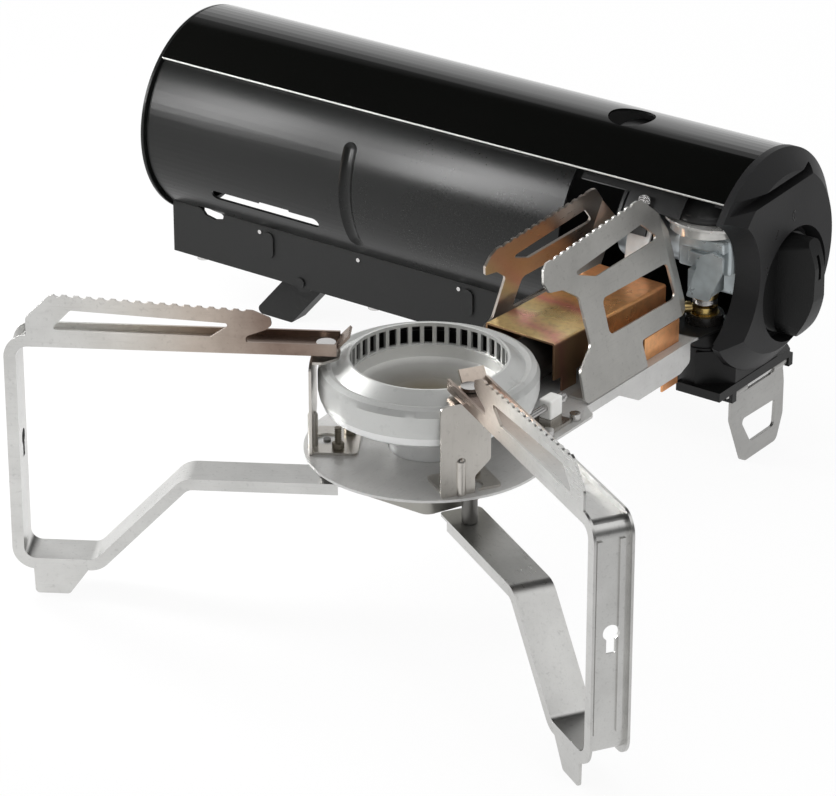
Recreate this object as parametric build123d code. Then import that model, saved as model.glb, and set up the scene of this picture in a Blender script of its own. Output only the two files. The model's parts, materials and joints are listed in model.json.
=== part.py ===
"""Fold-out gas stove: a tube case for the cartridge, a swing-out burner arm and two folding legs.

Millimetres, +Z up. While it is built, the tube runs along X with its axis over y = 0, the knob end
points to +X, the burner arm reaches out along -Y, and z = 0 is the table. The finished set is then
shifted so that the origin is at the middle of its footprint.
"""
import math
import os

from build123d import *

# ---- case tube
tube_r = 40.0            # outside of the upper shell
tube_low = 37.0          # under side of the tube, above the table
axis_z = tube_low + tube_r
shell_t = 1.0
shell_gap = 0.6          # between the upper shell and what it turns over
inner_r = tube_r - shell_t - shell_gap
case_left = -229.0
upper_right = 18.0
upper_front = 134.0      # edge angles about the tube axis, from +Y over the top towards the front
upper_back = -50.0
view_hole_r = 8.5
view_hole_x = -38.0
inner_t = 0.9
inner_top = 112.0
inner_low = 234.6
inner_left = case_left + 1.0
inner_right = -43.0
slot_length = 50.0
slot_width = 4.6
slot_x = -176.5
slot_angle = 207.5
rib_x = -136.0
rib_r = 3.6              # section of the pressed groove
rib_depth = 1.6
rib_span = (156.0, 214.0)
cap_t = 1.6
cap_seat = 2.4
end_gap = 0.3            # between the upper shell's ends and what they meet
# ---- rail and case foot
rail_y = inner_r * math.cos(math.radians(inner_low)) - 0.76      # middle of the rail sheet
rail_t = 1.2
rail_low = 26.0
rail_top = axis_z + inner_r * math.sin(math.radians(inner_low)) + 1.3
rail_lip = 10.0
rail_right = -12.0
rail_step_x = -62.0
rail_step_top = 44.2
rail_rib_x = (-183.0, -91.5)
rail_rib_top = 45.6
hook_hole = [(-216.8, 48.2), (-210, 48.4), (-204.5, 46.2), (-204.9, 44.3), (-208.7, 43.4), (-213.2, 44.3)]
foot_y = -5.0
foot_t = 1.2
foot_width = 18.4        # along X
foot_pivot = (-168.0, 28.0)
foot_slant = 49.0        # degrees from level
foot_pin_r = 2.5
foot_rivet_r = 1.85
# ---- end housing, base and stand plate
housing_r = tube_r + 0.3
housing_seat = 18.3      # where the upper shell's end meets the housing
housing_x = (14.0, 21.0, 26.5)
housing_wall = 3.2
collar_x = 2.0
collar_t = 2.4
face_r = housing_r - 7.3
scoop_centre = (-43.5, 77.0)
scoop_r = (25.0, 28.3)    # at the inner side of the wall, and beyond the face
base_low = 33.0
base_top = 36.4
base_y = (-31.0, 19.5)
base_x = (3.0, 21.0)
base_corner = 3.0
skirt_y = (-20.4, 8.0)     # along Y, the skirt's end face
skirt_top = 49.0
saddle_left = -31.0
saddle_top = 43.5
saddle_back = -11.0
boss_r = 9.0
boss_top = 50.0
stand_x = 17.3
stand_z = 30.6
stand_t = 1.2
stand_pin_r = 1.3
stand_span = (-17.6, 17.4)
stand_knuckle = 8.4
# ---- knob
knob_y = 8.0
knob_z = 66.0
knob_r = 20.0
knob_gap = 1.2
knob_disc = (20.4, 23.2)
knob_floor = 19.9        # bottom of its recess
knob_top = 36.6
grip_length = 2 * knob_r
spindle_r = 3.0
fit_gap = 0.06           # radial, for pins that turn in holes
# ---- gas parts in the housing
guide_r = inner_r - 1.8
guide_t = 1.2
guide_left = -41.0
guide_edge = 146.0
guide_lip = (-20.5, -9.5) # along X, where the sheet reaches down to guide_low
guide_low = 160.0
guide_back = -95.0       # both inner sheets close the bay down to here
band_x = (-17.0, -8.0)
band_t = 1.0
socket_x = -22.0
socket_t = 1.2
socket_r = 12.0
socket_bore_r = 8.0
socket_neck_r = 8.9
socket_depth = 12.0
bore_depth = 6.0
seal_r = 7.0
seal_t = 3.0
regulator_x = (-4.0, 17.4)
regulator_top = axis_z + 13.0
valve_x = (-4.0, 10.0)
plate_low = axis_z + 16.6
dome_centre = (3.8, -13.5)
dome_r = 12.8
dome_top = axis_z + 26.2
# ---- arm
arm_x = -13.3
pivot = (7.0, -20.0)
pivot_r = 4.0
cap_top = 63.2           # top of the brass swivel
stub_r = 2.5
stub_top = 68.0
elbow = (-11.8, -40.0)
elbow_r = 4.4
pipe_z = 62.6
copper_t = 0.8
panel_x = (-30.2, -1.0)
panel_turn = -3.0        # degrees, about the middle of its burner end
panel_y = (-101.5, -37.5)
panel_top = 76.0
tab_x = 8.4
tab_y = (-62.0, -40.0)
tab_bridge = 6.0
plate_top = 57.0
sheet_t = 0.9
arm_half = 26.0
arm_end_y = -36.0
burner_y = -157.5
disc_r = 41.1
pan_low = 47.2
stud_r = 2.6
# ---- trivet plates on the arm
lean = 17.2
trivet_half = 25.7       # from the arm's middle to each plate's foot
tooth_pitch = 4.0
tooth_r = 1.45
# ---- burner
ring_r = 36.2
ring_in = 25.8
ring_low = 76.0
ring_top = 89.2
port_count = 40
port_width = 2.7
port_z = (81.9, 88.0)
bowl_low = 74.6
neck_r = 13.0
mix_r = 7.6
mix_z = 65.6
shutter_r = 8.4
ceramic_top = 67.4
electrode_x = arm_x + 24.1
electrode_z = 64.6
# ---- legs
leg_spread = 58.8        # each leg's angle from the arm's line
leg_v = (-7.8, 6.3)      # across the channel, + towards the other leg
flange_front = 4.0
flange_far = 3.0
leg_inner = 29.5
leg_tongue = 6.0         # the inner bar's sheet, past the ends of its flanges
leg_bar = 44.3           # under side of the void: inner bar
leg_floor = 13.0
leg_post = 134.7
leg_roof = 90.5
slope_u = (81.0, 111.0)
leg_pin_u = 33.5
leg_pin_r = 1.8
top_rivet_r = 1.6
washer_t = 0.8
bracket_u = 37.2
bracket_v = (-5.3, 12.1)
bracket_rib_r = 1.7
ear_top = 89.3


def rounded(points, radii):
    """A flat face through these corners, each rounded by its radius."""
    if not isinstance(radii, (list, tuple)):
        radii = [radii] * len(points)
    tangents = []
    for i, corner in enumerate(points):
        here = Vector(*corner)
        back = (Vector(*points[i - 1]) - here).normalized()
        ahead = (Vector(*points[(i + 1) % len(points)]) - here).normalized()
        half = math.radians(back.get_angle(ahead)) / 2
        if radii[i] == 0 or half > math.radians(89.5):
            tangents.append((here,))
            continue
        reach = radii[i] / math.tan(half)
        middle = (back + ahead).normalized() * (radii[i] / math.sin(half) - radii[i])
        tangents.append((here + back * reach, here + middle, here + ahead * reach))
    edges = []
    for i, points_here in enumerate(tangents):
        if len(points_here) == 3:
            edges.append(ThreePointArc(*points_here))
        edges.append(Line(points_here[-1], tangents[(i + 1) % len(tangents)][0]))
    return make_face(Curve() + edges)


def across_x(face, low, high):
    """A face drawn in (y, z), as a solid from x = low to x = high."""
    return extrude(Plane((low, 0, 0), x_dir=(0, 1, 0), z_dir=(1, 0, 0)) * face, amount=high - low)


def across_y(face, low, high):
    """A face drawn in (x, z), as a solid from y = low to y = high."""
    return extrude(Plane((0, high, 0), x_dir=(1, 0, 0), z_dir=(0, -1, 0)) * face, amount=high - low)


def up_z(face, low, high):
    """A face drawn in (x, y), as a solid from z = low to z = high."""
    return extrude(Plane((0, 0, low)) * face, amount=high - low)


def block(x, y, z, round_off=0.0):
    """A box between two values on each axis, with its edges rounded."""
    middle = Pos((x[0] + x[1]) / 2, (y[0] + y[1]) / 2, (z[0] + z[1]) / 2)
    solid = middle * Box(x[1] - x[0], y[1] - y[0], z[1] - z[0])
    return fillet(solid.edges(), round_off) if round_off else solid


def rod_x(y, z, radius, low, high):
    return across_x(Pos(y, z) * Circle(radius), low, high)


def rod_y(x, z, radius, low, high):
    return across_y(Pos(x, z) * Circle(radius), low, high)


def rod_z(x, y, radius, low, high):
    return up_z(Pos(x, y) * Circle(radius), low, high)


def arc_sheet(radius, thickness, start, end, low, high):
    """A sheet bent about the tube axis between two angles, from x = low to x = high."""
    def at(r, angle):
        return (r * math.cos(math.radians(angle)), axis_z + r * math.sin(math.radians(angle)))
    inside = radius - thickness
    middle = (start + end) / 2
    outline = Curve() + [
        ThreePointArc(at(radius, start), at(radius, middle), at(radius, end)),
        Line(at(radius, end), at(inside, end)),
        ThreePointArc(at(inside, end), at(inside, middle), at(inside, start)),
        Line(at(inside, start), at(radius, start)),
    ]
    return across_x(make_face(outline), low, high)


def turned(points, x, y):
    """A solid of revolution about the vertical at (x, y), from an outline of (radius, z)."""
    face = Plane.XZ * make_face(Polyline(*points, close=True))
    return Pos(x, y, 0) * revolve(face, Axis.Z, 360)


def around_tube(solid, angle):
    """Turns a piece that was made at the front (180 degrees) to another angle about the tube axis."""
    return Pos(0, 0, axis_z) * Rot(X=angle - 180) * Pos(0, 0, -axis_z) * solid


# ---------------------------------------------------------------- case
def upper_shell():
    shell = arc_sheet(tube_r, shell_t, upper_back, upper_front, case_left, upper_right)
    return shell - rod_z(view_hole_x, 0.5, view_hole_r, axis_z + 20, axis_z + tube_r + 5)


def rib_bar(radius):
    """A round bar bent about the tube axis, with ball ends, which is pressed into the inner shell."""
    major = inner_r + rib_r - rib_depth
    start, end = rib_span
    centre = Pos(rib_x, 0, axis_z)
    profile = centre * Rot(X=start) * Pos(0, major, 0) * (Plane.XY * Circle(radius))
    bar = revolve(profile, Axis((rib_x, 0, axis_z), (1, 0, 0)), end - start)
    for angle in rib_span:
        bar += centre * Rot(X=angle) * Pos(0, major, 0) * Sphere(radius)
    return bar


def inner_shell():
    shell = arc_sheet(inner_r, inner_t, inner_top, inner_low, inner_left, inner_right)
    core = rod_x(0, axis_z, inner_r - inner_t + 0.05, rib_x - 10, rib_x + 10)
    shell += rib_bar(rib_r + 0.7) & core
    shell -= rib_bar(rib_r)
    reach = tube_r + 5
    slot = across_y(Pos(slot_x, axis_z) * SlotOverall(slot_length, slot_width), -reach, -inner_r / 2)
    notch = block((slot_x - 2, slot_x + 12), (-reach, -inner_r / 2), (axis_z, axis_z + slot_width / 2 + 0.8))
    shell -= around_tube(slot + notch, slot_angle)
    return shell - across_y(rounded(hook_hole, 0.6), -reach, 0)


def left_cap():
    """Pressed end cap, with a shallow dish and a seat inside the shells."""
    x = (case_left - cap_t, case_left - end_gap)
    cap = rod_x(0, axis_z, tube_r - 0.1, *x) - rod_x(0, axis_z, tube_r - 7, x[0] - 1, x[0] + 0.6)
    seat = inner_r - inner_t - 0.05
    cap += rod_x(0, axis_z, seat, x[1] - 0.1, case_left + cap_seat)
    return cap - rod_x(0, axis_z, seat - 1.6, x[1], case_left + cap_seat + 1)


def base_rail():
    faces = (rail_y - rail_t / 2, rail_y + rail_t / 2)
    wall = block((case_left, rail_right), faces, (rail_low, rail_top))
    lip = block((case_left, rail_right), (faces[0], faces[0] + rail_lip), (rail_low, rail_low + rail_t))
    rail = wall + lip
    for x in rail_rib_x:
        rib = Pos(x, rail_rib_top - 6) * Rot(Z=90) * SlotOverall(10.5, 5)
        rail += across_y(rib, faces[0] - 0.8, faces[0] + 0.1)
    px, pz = foot_pivot
    rail -= rod_y(px, pz, foot_rivet_r + 0.05, -40, 0)
    reach = foot_pin_r + 3
    rail -= block((px - reach, px + reach), (faces[1], 0), (rail_low - 1, rail_low + 3))
    rail -= across_y(rounded(hook_hole, 0.6), -40, 0)
    # the top edge follows the shell, and is lower where the arm swings over it
    rail -= rod_x(0, axis_z, inner_r + 0.02, case_left - 1, rail_right + 1)
    return rail - block((rail_step_x, rail_right + 1), (-40, 0), (rail_step_top, rail_top + 1))


def rail_buttons():
    """Steel buttons under the rail's lip, and the weld dots under the shell."""
    buttons = []
    for x in (-217.4, -136.3):
        buttons.append(rod_z(x, rail_y + 3, 2.6, rail_low - 1.6, rail_low - 0.02))
    for x in (-187.0, -141.0, -95.5):
        front = rail_y - rail_t / 2
        buttons.append(rod_y(x, rail_rib_top - 1.6, 0.8, front - 0.5, front - 0.01))
    return Compound(buttons)


def case_foot():
    """The slanting strut that the tube's left end stands on. Its top turns on a pin."""
    px, pz = foot_pivot
    run = pz / math.tan(math.radians(foot_slant))
    low = (px - 12.6 - run, px - 12.6 - run + foot_width)
    high = pz + 4.5
    rise = high / math.tan(math.radians(foot_slant))
    outline = [(low[0], 0), (low[1], 0), (low[1] + rise, high), (low[0] + rise, high)]
    plate = across_y(rounded(outline, [2, 1, 6, 6]), foot_y - foot_t / 2, foot_y + foot_t / 2)
    x, z = low[1] + rise * 0.72, high * 0.72
    side = rounded([(low[1] - 1.4, 0.01), (low[1], 0.01), (x, z), (x - 1.4, z)], 0.2)
    plate += across_y(side, foot_y, foot_y + 8)
    return plate - rod_y(px, pz, foot_pin_r + fit_gap, foot_y - 5, foot_y + 5)


def foot_pin():
    px, pz = foot_pivot
    inner = rail_y + rail_t / 2
    shank = rod_y(px, pz, foot_pin_r, inner + 0.02, foot_y + foot_t / 2 + 0.9)
    collar = rod_y(px, pz, foot_pin_r + 2, inner + 0.02, foot_y - foot_t / 2 - 0.3)
    head = rod_y(px, pz, foot_pin_r + 1.5, foot_y + foot_t / 2 + 0.3, foot_y + foot_t / 2 + 1.8)
    rivet = rod_y(px, pz, foot_rivet_r, rail_y - rail_t / 2 - 0.8, inner + 0.5)
    return shank + collar + head + rivet


# ---------------------------------------------------------------- end housing
def end_housing():
    back, edge, face = housing_x
    body = rod_x(0, axis_z, inner_r, back, housing_seat)
    body += rod_x(0, axis_z, housing_r, housing_seat, edge)
    rings = [Plane.YZ.offset(edge) * Pos(0, axis_z) * Circle(housing_r),
             Plane.YZ.offset(face) * Pos(0, axis_z) * Circle(face_r)]
    body += loft(rings)
    body += arc_sheet(inner_r, collar_t, guide_back, upper_front - 6, collar_x, back + 0.1)
    # the hollow that the regulator stands in, open towards the arm
    body -= rod_x(0, axis_z, inner_r - collar_t, back - 1, edge - housing_wall)
    scoop = [Plane.YZ.offset(edge - housing_wall - 0.5) * Pos(*scoop_centre) * Circle(scoop_r[0]),
             Plane.YZ.offset(face + 1) * Pos(*scoop_centre) * Circle(scoop_r[1])]
    body -= loft(scoop)
    body -= block((back - 1, edge - housing_wall), (-60, -14), (base_top + 2, 104))
    # round recess for the knob, and the bore of its spindle
    body -= rod_x(knob_y, knob_z, knob_r + knob_gap, knob_floor, face + 5)
    body -= rod_x(knob_y, knob_z, spindle_r + fit_gap, back, face + 5)
    # finger valley across the top of the face
    valley = rounded([(-60, 105.6), (-60, 101.6), (19, 104.6), (19, 108.4)], [0, 0, 2.4, 1.2])
    return body - across_x(valley, edge + 0.6, face + 5)


def housing_base():
    """Black foot of the housing: a plate under the tube, a skirt, and the boss that the arm turns on."""
    left, right = base_x
    front, back = base_y
    plan = [(left, front), (right, front), (right, back - base_corner), (right - base_corner, back), (left, back)]
    base = up_z(rounded(plan, 0), base_low, base_top)
    # the skirt has a slanted corner in front of the boss
    end, start, seat = right - 0.2, housing_seat + 0.1, pivot[1] + 5.8
    plan = [(pivot[0] + 3, front + 1), (end, skirt_y[0]), (end, skirt_y[1]), (start, skirt_y[1]), (start, seat),
            (pivot[0] + 2, seat), (pivot[0] - 2, pivot[1])]
    base += up_z(rounded(plan, 0), base_top - 0.1, skirt_top)
    rail_back = rail_y + rail_t / 2 + 0.02
    boss = rod_z(*pivot, boss_r, base_low, boss_top)
    boss -= block((housing_x[0] - 0.1, 40), (-50, 50), (base_top, 90))
    base += boss + block((saddle_left, left + 3), (rail_back, saddle_back), (base_low, saddle_top))
    base -= rod_x(0, axis_z, housing_r + 0.1, housing_seat - 1, right + 1)
    lug = (stand_x - 2.5, stand_x + 2.7)
    base += block(lug, (stand_span[0] - 3.0, stand_span[0] - 0.3), (stand_z - 2.2, base_low + 0.1))
    base += block(lug, (stand_span[1] + 0.3, stand_span[1] + 3.0), (stand_z - 2.2, base_low + 0.1))
    base -= rod_z(*pivot, pivot_r - 0.5, 20, 60)
    return base - rod_y(stand_x, stand_z, stand_pin_r + 0.02, -30, 30)


def base_screws():
    """Screws that hold the rail to the saddle of the housing's base."""
    front = rail_y - rail_t / 2 - 0.02
    screws = []
    for x in (saddle_left + 5, saddle_left + 14):
        screws.append(rod_y(x, saddle_top - 5, 2.6, front - 1.6, front))
    return Compound(screws)


def stand_plate():
    """Hinged plate that the knob end stands on."""
    low, high = stand_span
    outline = [(low, 28.2), (low, 19.5), (-9.5, 1.5), (-6.5, 0), (14.5, 0), (high + 1, 9.5), (high + 1, 22.0),
               (high, 28.2)]
    window = [(-11.0, 17.6), (-3.6, 6.4), (12.4, 6.6), (13.0, 17.0)]
    faces = (stand_x - stand_t / 2, stand_x + stand_t / 2)
    plate = across_x(rounded(outline, [2.5, 4, 2, 1.5, 3, 4, 4, 2.5]), *faces)
    plate -= across_x(rounded(window, 1.6), stand_x - 5, stand_x + 5)
    bore = stand_pin_r + fit_gap
    for a, b in ((low, low + stand_knuckle), (high - stand_knuckle, high)):
        plate += block(faces, (a, b), (26.5, stand_z))
        plate += rod_y(stand_x, stand_z, bore + 0.75, a, b)
    return plate - rod_y(stand_x, stand_z, bore, -30, 30)


def stand_pin():
    return rod_y(stand_x, stand_z, stand_pin_r, stand_span[0] - 2.6, stand_span[1] + 2.6)


def knob():
    """Disc in the recess, and a drop-shaped grip whose crest is arched."""
    disc = rod_x(knob_y, knob_z, knob_r - 1.2, *knob_disc)
    disc = fillet(disc.edges().sort_by(Axis.X)[-1], 1.0)
    half = grip_length / 2
    foot = rounded([(-8.4, -half + 1), (8.4, -half + 1), (6.4, half - 2), (-6.4, half - 2)], [7.5, 7.5, 5, 5])
    crest = [(-4.2, -half + 0.8), (4.2, -half + 0.8), (2.9, half - 1.2), (-2.9, half - 1.2)]
    low = Plane((knob_disc[1] - 1, knob_y, knob_z), x_dir=(0, 1, 0), z_dir=(1, 0, 0))
    high = Plane((knob_top, knob_y, knob_z), x_dir=(0, 1, 0), z_dir=(1, 0, 0))
    grip = loft([low * foot, high * rounded(crest, [3.6, 3.6, 2.4, 2.4])])
    low_end = (knob_top - 8.0, knob_z - half)
    high_end = (knob_top - 4.4, knob_z + half)
    arch = Curve() + [
        ThreePointArc(low_end, (knob_top, knob_z - 3), high_end),
        Polyline(high_end, (knob_disc[1] - 2, knob_z + half), (knob_disc[1] - 2, knob_z - half), low_end),
    ]
    whole = disc + (grip & across_y(make_face(arch), knob_y - 20, knob_y + 20))
    # pointer slot near the top of the crest
    whole -= block((knob_top - 4.6, knob_top + 1), (knob_y - 0.8, knob_y + 0.8), (knob_z + 4, knob_z + 13))
    return whole - rod_x(knob_y, knob_z, spindle_r + 0.02, 0, knob_disc[1] + 2)


def control_spindle():
    spindle = rod_x(knob_y, knob_z, spindle_r, valve_x[1] - 6, knob_disc[1] + 1.95)
    return spindle + rod_x(knob_y, knob_z, spindle_r + 2, valve_x[1] + 0.3, valve_x[1] + 2.5)


# ---------------------------------------------------------------- gas parts in the housing
def socket_plate():
    """Steel wall between the cartridge bay and the regulator."""
    radius = guide_r - guide_t - 0.02
    plate = rod_x(0, axis_z, radius, socket_x - socket_t, socket_x)
    plate -= block((socket_x - 5, socket_x + 5), (-60, 60), (20, 62))
    plate -= block((socket_x - 5, socket_x + 5), (-60, -20), (20, 93.6))
    return plate - rod_x(0, axis_z, socket_neck_r + 0.02, socket_x - 5, socket_x + 5)


def canister_socket():
    low = socket_x - socket_t - 0.02
    mouth = low - socket_depth
    body = rod_x(0, axis_z, socket_r, mouth, low)
    body += rod_x(0, axis_z, socket_neck_r, low - 0.1, regulator_x[0] - 0.02)
    body -= rod_x(0, axis_z, socket_bore_r, mouth - 1, mouth + bore_depth)
    body -= rod_x(0, axis_z, seal_r, mouth, mouth + bore_depth + seal_t)
    return body - rod_x(0, axis_z, 1.5, mouth, socket_x + 30)


def socket_seal():
    floor = socket_x - socket_t - 0.02 - socket_depth + bore_depth + seal_t
    seal = rod_x(0, axis_z, seal_r - 0.02, floor - seal_t, floor - 0.02)
    return seal - rod_x(0, axis_z, 4.0, floor - 8, floor + 1)


def magnets():
    """Magnets that pull on the cartridge's rim."""
    face = socket_x - socket_t - 0.02
    blocks = []
    for y, z in ((-15, axis_z + 24), (20, axis_z + 20), (26, axis_z - 6)):
        blocks.append(rod_x(y, z, 5, face - 4, face))
    return Compound(blocks)


def regulator_body():
    x = regulator_x
    body = block(x, (-21, 2.8), (76, regulator_top), 1.2)
    body += block((x[0] + 3, x[1] - 1), (-24.2, -10), (85.0, 89.4), 0.8)
    body += block((x[0] + 5, x[1] - 5), (-22.6, -10), (78.5, 83.0), 0.6)
    post = ((pivot[0] - 4.5, pivot[0] + 4.5), (pivot[1] - 4.4, pivot[1] + 5))
    body += block(*post, (stub_top + 0.02, 77))
    # plated bracket that slants down to the gas outlet
    slant = [(2.9, stub_top - 0.6), (12.0, stub_top - 0.6), (17.3, 79.6), (17.3, 85.0), (13.0, 86.2), (8.4, 84.0)]
    body += across_y(rounded(slant, [0.6, 1.0, 1.5, 1.0, 1.0, 1.0]), pivot[1] - 6.2, pivot[1] - 4.8)
    body += block((pivot[0] - 1, pivot[0] + 4), (pivot[1] - 5, pivot[1] - 0.5), (77, 82))
    body += block(valve_x, (0, knob_y + 7), (knob_z - 7, 77), 0.8)
    return body - rod_x(knob_y, knob_z, spindle_r + fit_gap, valve_x[1] - 7, valve_x[1] + 5)


def regulator_bonnet():
    return rod_z(*dome_centre, dome_r + 1.0, regulator_top + 0.02, plate_low - 0.02)


def governor_plate():
    plate = rod_z(dome_centre[0] + 1, dome_centre[1] + 3, 18.5, plate_low, plate_low + 1.2)
    return plate & block((-60, regulator_x[1] + 0.1), (-60, 60), (80, 110))


def governor_dome():
    """Round black cap of the regulator's spring: a short wall under a shallow dome."""
    low = plate_low + 1.22
    rise = dome_top - low - 2
    radius = (dome_r ** 2 + rise ** 2) / (2 * rise)
    ball = Pos(*dome_centre, dome_top - radius) * Sphere(radius)
    return ball & rod_z(*dome_centre, dome_r, low, dome_top + 1)


def regulator_screws():
    low = plate_low + 1.22
    heads = []
    for angle in (75, 205):
        x = dome_centre[0] + (dome_r + 2.4) * math.cos(math.radians(angle))
        y = dome_centre[1] + (dome_r + 2.4) * math.sin(math.radians(angle))
        head = rod_z(x, y, 2.0, low, low + 1.8)
        heads.append(head - block((x - 1.8, x + 1.8), (y - 0.3, y + 0.3), (low + 1.3, low + 3)))
    return Compound(heads)


def guide_plate():
    """Black sheet around the bay's end, behind the cover's front edge. It carries the socket's wall."""
    plate = arc_sheet(guide_r, guide_t, guide_back, guide_edge - 8.5, guide_left, collar_x - 0.02)
    plate += arc_sheet(guide_r, guide_t, guide_edge - 8.6, guide_edge, guide_lip[0], collar_x - 0.02)
    plate += arc_sheet(guide_r, guide_t, guide_edge - 0.1, guide_low, *guide_lip)
    return plate + arc_sheet(guide_r, guide_t, guide_back, upper_back + 5, guide_left - 26, guide_left + 0.1)


def guide_screw():
    head = rod_y(band_x[0] + 4, axis_z, 2.5, -guide_r - 1.7, -guide_r - 0.02)
    slot = block((band_x[0], band_x[0] + 8), (-guide_r - 3, -guide_r - 1.1), (axis_z - 0.35, axis_z + 0.35))
    return around_tube(head - slot, guide_edge - 4)


def clamp_band():
    """Plated hoop in front of the regulator."""
    return arc_sheet(guide_r - guide_t - 0.02, band_t, guide_edge - 8, 178, *band_x)


def outlet_stub():
    """Gas outlet that points down the arm's pivot line."""
    stub = rod_z(*pivot, stub_r, cap_top - 2.0, stub_top) + rod_z(*pivot, 4.8, stub_top - 1.6, stub_top)
    return stub - rod_z(*pivot, 1.2, 50, stub_top + 1)


def pivot_pin():
    pin = rod_z(*pivot, pivot_r, boss_top + 0.02, plate_top + 0.3)
    pin += rod_z(*pivot, pivot_r - 0.52, base_low + 1, boss_top + 0.1)
    return pin + rod_z(*pivot, pivot_r + 1.5, plate_top + 0.3, plate_top + 1.8)


def pivot_bush():
    bush = rod_z(*pivot, 8.5, boss_top + 0.02, plate_top - sheet_t - 0.15)
    return bush - rod_z(*pivot, pivot_r + 0.02, 40, 60)


# ---------------------------------------------------------------- arm
def arm_channel():
    """Pressed steel tray: the burner's round base, the arm and its turned-down sides."""
    z = (plate_top - sheet_t, plate_top)
    right = arm_x + arm_half
    left = arm_x - arm_half
    ear = arm_half + 5.5
    outline = [
        (pivot[0] - 9.2, pivot[1] - 2), (left + 17, arm_end_y), (left + 6, arm_end_y - 6),
        (left, arm_end_y - 26), (left, -103), (arm_x - ear, -107), (arm_x - ear, -130), (arm_x + ear, -130),
        (arm_x + ear, -107), (right, -103), (right, arm_end_y), (pivot[0] + 9.2, pivot[1]),
    ]
    tray = up_z(rounded(outline, [0, 8, 8, 6, 2, 3, 0, 0, 3, 2, 4, 0]), *z)
    tray += rod_z(*pivot, 9.2, *z)
    tray += rod_z(arm_x, burner_y, disc_r, *z)
    joint = plate_top - 0.05
    side = [(-101, joint), (-101, 53.4), (-83, 53.4), (-70.5, 46.8), (-44, 46.8), (-38, 49), (-38, joint)]
    tray += across_x(rounded(side, [0, 1, 2, 2, 3, 2, 0]), right - sheet_t, right)
    side = [(-101, joint), (-101, 53.4), (-83, 53.4), (-74, 49), (-67, 49), (-62, joint)]
    tray += across_x(rounded(side, [0, 1, 2, 2, 3, 0]), left, left + sheet_t)
    tray -= rod_z(*pivot, pivot_r + fit_gap, 50, 60)
    tray -= rod_z(arm_x, burner_y, neck_r + 0.3, 50, 60)
    tray -= block((tab_x - 0.1, tab_x + copper_t + 0.1), (-50.1, -39.9), (50, 60))
    for sign in (-1, 1):
        tray -= leg_place(rod_z(leg_pin_u, 0, 1.3, 50, 60), sign)
    return tray


def trivet(side):
    """Leaning pot support on the arm. side is 1 for the outer plate and -1 for the inner one."""
    def up(y, z):
        return (y, (z - plate_top) / math.cos(math.radians(lean)))
    outline = [up(-101.4, 57.3), up(-102.6, 58.8), up(-101.4, 68.0), up(-92.4, 74.0), up(-92.4, 90.4),
               up(-100, 95.4), up(-107.4, 96.8), up(-109.2, 100.5), up(-107.6, 104.4), up(-105.0, 106.1),
               up(-48.6, 109.2), up(-45.9, 108.4), up(-38.7, 101.9), up(-38.7, 66.2), up(-64.5, 66.2),
               up(-64.5, 57.3)]
    plate = rounded(outline, [0, 1, 3, 2.5, 3, 3, 1.5, 1.5, 1, 1, 1.5, 1.5, 0, 0, 1.5, 0])
    upper = rounded([up(-93.4, 98.4), up(-49.6, 101.4), up(-41.2, 94.2), up(-80.4, 93.6)], [0.8, 1.2, 1.2, 0.8])
    lower = rounded([up(-80.4, 86.0), up(-40.4, 85.2), up(-40.0, 72.9), up(-81.0, 73.6)], 2.2)
    solid = across_x(plate, -sheet_t, 0) - across_x(upper, -5, 5) - across_x(lower, -5, 5)
    # short end flange, bent inwards
    end = [up(-38.9, 101.9), up(-30.0, 93.8), up(-30.0, 69.0), up(-33.0, 66.2), up(-38.9, 66.2)]
    flange = rounded(end, [0, 2, 2, 2, 0])
    bend = Pos(-sheet_t / 2, -38.8, 0) * Rot(Z=24) * Pos(sheet_t / 2, 38.8, 0)
    solid += bend * across_x(flange, -sheet_t, 0)
    solid += rod_z(-sheet_t / 2, -38.8, sheet_t / 2, up(0, 66.2)[1], up(0, 101.8)[1])
    # teeth: a row of scallops along the sloping edge
    count = 13
    for i in range(count):
        y = -103.0 + (i + 0.5) * tooth_pitch
        height = 106.1 + (y + 105.0) * (109.2 - 106.1) / (105.0 - 48.6)
        solid -= rod_x(*up(y, height + 0.75), tooth_r, -5, 5)
    solid = Rot(Y=-lean) * solid
    foot = block((-8.5, -0.2), (-100.5, -66), (0.02, sheet_t))
    solid = Pos(arm_x + trivet_half, 0, plate_top) * (solid + foot)
    solid -= block((-100, 100), (-200, 0), (0, plate_top + 0.015))
    if side < 0:
        solid = Pos(2 * arm_x, 0, 0) * mirror(solid, Plane.YZ)
    return solid


def trivet_rivets():
    heads = []
    for side in (-1, 1):
        for y in (-92, -76):
            x = arm_x + side * (trivet_half - 5.2)
            heads.append(rod_z(x, y, 1.8, plate_top + sheet_t + 0.02, plate_top + 2.0))
    return Compound(heads)


def heat_panel():
    """Folded copper sheet over the mixing tube, which warms the cartridge."""
    low, high = panel_x
    near, far = panel_y
    roof = block((low, high), panel_y, (panel_top - copper_t, panel_top))
    roof += block((low, low + copper_t), (near, -52), (64, panel_top))
    wall = [(near, 62.5), (-84, 62.5), (-79, 68.4), (tab_y[0], 68.4), (tab_y[0], 64.8), (tab_y[0] + tab_bridge, 64.8),
            (tab_y[0] + tab_bridge, 68.4), (far, 68.4), (far, panel_top), (near, panel_top)]
    roof += across_x(make_face(Polyline(*wall, close=True)), high - copper_t, high)
    for x in (low, high - copper_t):
        roof += block((x, x + copper_t), (-97, -89), (plate_top + 0.02, 66))
    crease = roof.edges().filter_by(Axis.Y).group_by(Axis.Z)[-1]
    return panel_place(fillet(crease, 1.2 * copper_t))


def panel_place(solid):
    """Turns the panel a little about the middle of its burner end."""
    x, y = (panel_x[0] + panel_x[1]) / 2, panel_y[0]
    return Pos(x, y, 0) * Rot(Z=panel_turn) * Pos(-x, -y, 0) * solid


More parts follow.
